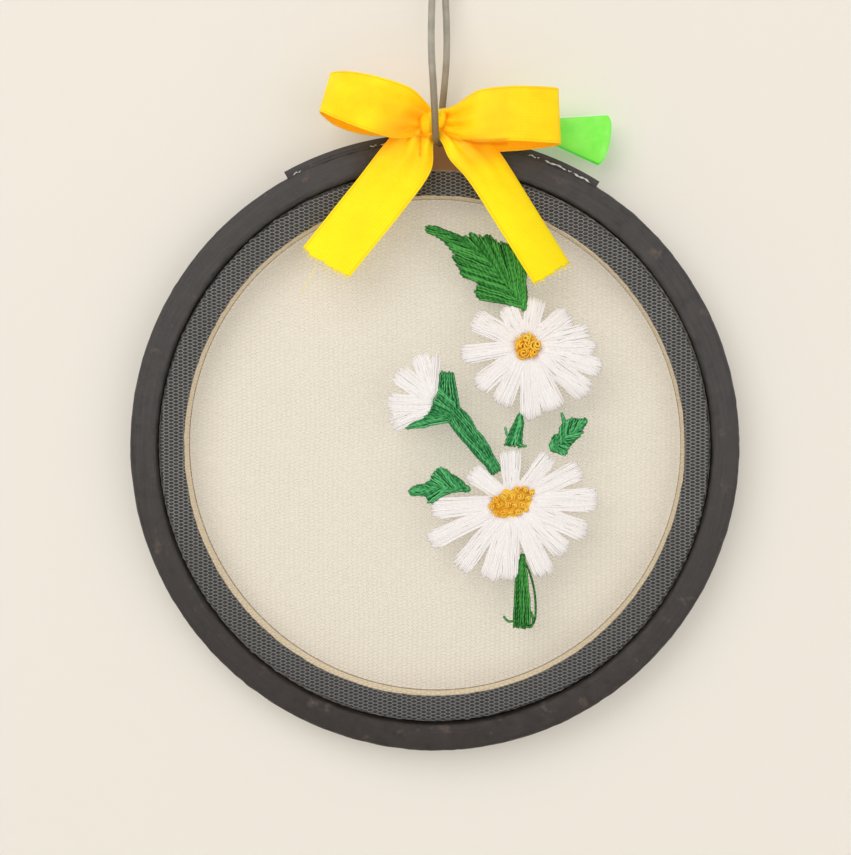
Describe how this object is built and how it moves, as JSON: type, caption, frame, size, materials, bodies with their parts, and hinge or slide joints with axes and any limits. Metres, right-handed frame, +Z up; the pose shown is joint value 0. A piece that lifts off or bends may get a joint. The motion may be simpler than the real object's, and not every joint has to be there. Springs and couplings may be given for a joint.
{
  "type": "hoop embroidery art",
  "caption": "Wall-hung embroidery hoop with sheer net, satin-stitched daisies and leaves, a satin ribbon bow at the tension screw and a cord loop.",
  "frame": {"origin": "the nail's point inside the top of the cord loop, where the hoop hangs", "axes": "-Y out of the stitched front, +Y to the wall, +X to the right seen from the front, +Z up"},
  "size_m": [0.1401, 0.021, 0.182],
  "materials": {
    "painted_wood": "brushed charcoal paint, worn at the edges, bare tan wood on the inner wall",
    "net": "sheer nylon net",
    "white_thread": "stranded cotton in satin stitch",
    "yellow_thread": "stranded cotton in knots",
    "green_thread": "stranded cotton in fishbone and satin stitch",
    "satin": "bright yellow satin ribbon",
    "cord": "smooth round grey cord",
    "steel": "plain plated steel",
    "green_plastic": "translucent fluorescent green"
  },
  "bodies": {
    "root": {"outer_ring": "painted_wood", "inner_ring": "painted_wood", "end_strip_left": "painted_wood", "end_strip_right": "painted_wood", "lug_left": "steel", "lug_right": "steel", "screw": "steel", "screw_knob": "green_plastic", "net": "net", "upper_daisy_petals": "white_thread", "lower_daisy_petals": "white_thread", "bud_petals": "white_thread", "upper_daisy_centre": "yellow_thread", "lower_daisy_centre": "yellow_thread", "bud_calyx_stalk": "green_thread", "top_leaf": "green_thread", "left_leaf": "green_thread", "right_leaf": "green_thread", "middle_stem": "green_thread", "bottom_stem": "green_thread", "bow": "satin", "hanging_cord": "cord"}
  },
  "joints": []
}
